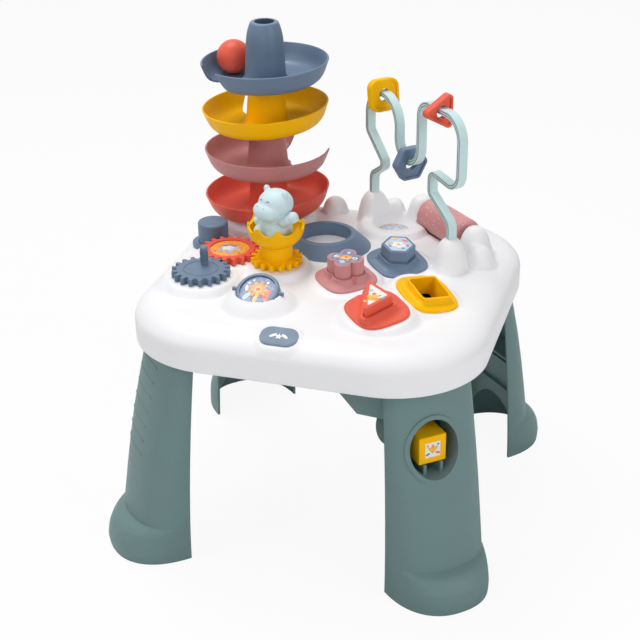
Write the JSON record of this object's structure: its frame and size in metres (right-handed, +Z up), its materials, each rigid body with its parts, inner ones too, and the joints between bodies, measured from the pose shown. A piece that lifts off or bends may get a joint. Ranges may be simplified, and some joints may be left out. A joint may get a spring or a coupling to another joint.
{
  "type": "activity table",
  "caption": "Child's activity table: white top on curved legs with meshed gears, a ball tower, a shape sorter with a chute to a leg pocket, a bead rail, a roller, a push button and a flip tile.",
  "frame": {"origin": "on the floor, below the middle of the table", "axes": "+Z up, -Y towards the front, +X to the right seen from the front"},
  "size_m": [0.5008, 0.5008, 0.599],
  "materials": {
    "white": "satin",
    "sage": "satin",
    "slate": "satin",
    "pink": "satin",
    "coral": "satin",
    "yellow": "satin",
    "mint": "satin",
    "pale_blue": "satin",
    "print": "satin",
    "grey_plastic": "satin",
    "steel": "satin"
  },
  "bodies": {
    "table": {"top_shell": "white", "badge": "slate", "rail": "mint", "rail_wedges": "grey_plastic", "leg_front_left": "sage", "leg_front_right": "sage", "leg_back_right": "sage", "leg_back_left": "sage", "leg_screws": "steel", "block_chute": "sage", "collar_flower": "pink", "collar_hexagon": "slate", "collar_triangle": "coral", "collar_square": "yellow", "ball_ring": "slate", "well_label": "print", "tray_red": "coral", "tray_pink": "pink", "tray_yellow": "yellow", "tray_blue": "slate", "button_collar": "slate", "button_guide": "sage", "button_spring": "steel", "roller_axle": "steel"},
    "crown": {"crown_gear": "yellow", "crown_cup": "yellow", "crown_hub_screw": "steel"},
    "label": {"label_gear": "coral", "gear_label": "print", "label_hub_screw": "steel"},
    "crank": {"crank_gear": "slate", "crank_hub_screw": "steel"},
    "hippo": {"hippo_figure": "pale_blue"},
    "button": {"push_button": "slate"},
    "tile": {"tile_rim": "slate", "tile_disc": "print"},
    "flower_piece": {"block_flower": "pink"},
    "hexagon_piece": {"block_hexagon": "slate"},
    "triangle_piece": {"block_triangle": "coral"},
    "square_piece": {"block_square": "yellow"},
    "ball": {"ball": "coral"},
    "roller": {"roller": "pink"},
    "square_bead": {"bead_square": "yellow"},
    "hexagon_bead": {"bead_hexagon": "slate"},
    "triangle_bead": {"bead_triangle": "coral"}
  },
  "joints": [
    {"name": "crown_spin", "type": "hinge", "parent": "table", "child": "crown", "pos_m": [-0.06986, -0.01995, 0.334], "axis": [0, 0, 1], "continuous": true},
    {"name": "label_spin", "type": "hinge", "parent": "table", "child": "label", "pos_m": [-0.136, -0.013, 0.334], "axis": [0, 0, 1], "continuous": true},
    {"name": "crank_spin", "type": "hinge", "parent": "table", "child": "crank", "pos_m": [-0.14941, -0.08201, 0.334], "axis": [0, 0, 1], "continuous": true},
    {"name": "hippo_lift", "type": "slide", "parent": "crown", "child": "hippo", "axis": [0, 0, 1], "range_m": [0, 0.08]},
    {"name": "button_press", "type": "slide", "parent": "table", "child": "button", "axis": [0, 0, -1], "range_m": [0, 0.006], "stiffness_N_per_m": 300, "springref_m": -0.005, "deforming": ["button_spring"]},
    {"name": "tile_flip", "type": "hinge", "parent": "table", "child": "tile", "pos_m": [-0.06, -0.122, 0.341], "axis": [1, 0, 0], "continuous": true},
    {"name": "flower_slide", "type": "slide", "parent": "table", "child": "flower_piece", "axis": [0, -0.0698, 0.9976], "range_m": [-0.05, 0.05]},
    {"name": "hexagon_slide", "type": "slide", "parent": "table", "child": "hexagon_piece", "axis": [0.0875, -0.1297, 0.9877], "range_m": [-0.05, 0.05]},
    {"name": "triangle_slide", "type": "slide", "parent": "table", "child": "triangle_piece", "axis": [0.0191, -0.1553, 0.9877], "range_m": [-0.05, 0.05]},
    {"name": "square_out", "type": "slide", "parent": "table", "child": "square_piece", "axis": [0.6561, -0.7547, 0], "range_m": [0, 0.06]},
    {"name": "ball_lift", "type": "slide", "parent": "table", "child": "ball", "axis": [0, 0, 1], "range_m": [0, 0.1]},
    {"name": "roller_spin", "type": "hinge", "parent": "table", "child": "roller", "pos_m": [0.118, 0.141, 0.341], "axis": [0.7193, -0.6947, 0], "continuous": true},
    {"name": "square_bead_run", "type": "hinge", "parent": "table", "child": "square_bead", "pos_m": [0.0262, 0.15443, 0.47469], "axis": [-0.6947, -0.7193, 0], "range_deg": [-18, 18]},
    {"name": "hexagon_bead_run", "type": "hinge", "parent": "table", "child": "hexagon_bead", "pos_m": [0.07122, 0.11095, 0.46283], "axis": [-0.6947, -0.7193, 0], "range_deg": [-25, 25]},
    {"name": "triangle_bead_run", "type": "slide", "parent": "table", "child": "triangle_bead", "axis": [0.7193, -0.6947, 0], "range_m": [-0.012, 0.012]}
  ],
  "couplings": [
    {"joint": "label_spin", "follows": "crown_spin", "ratio": -0.8421},
    {"joint": "crank_spin", "follows": "crown_spin", "ratio": 0.88889}
  ]
}
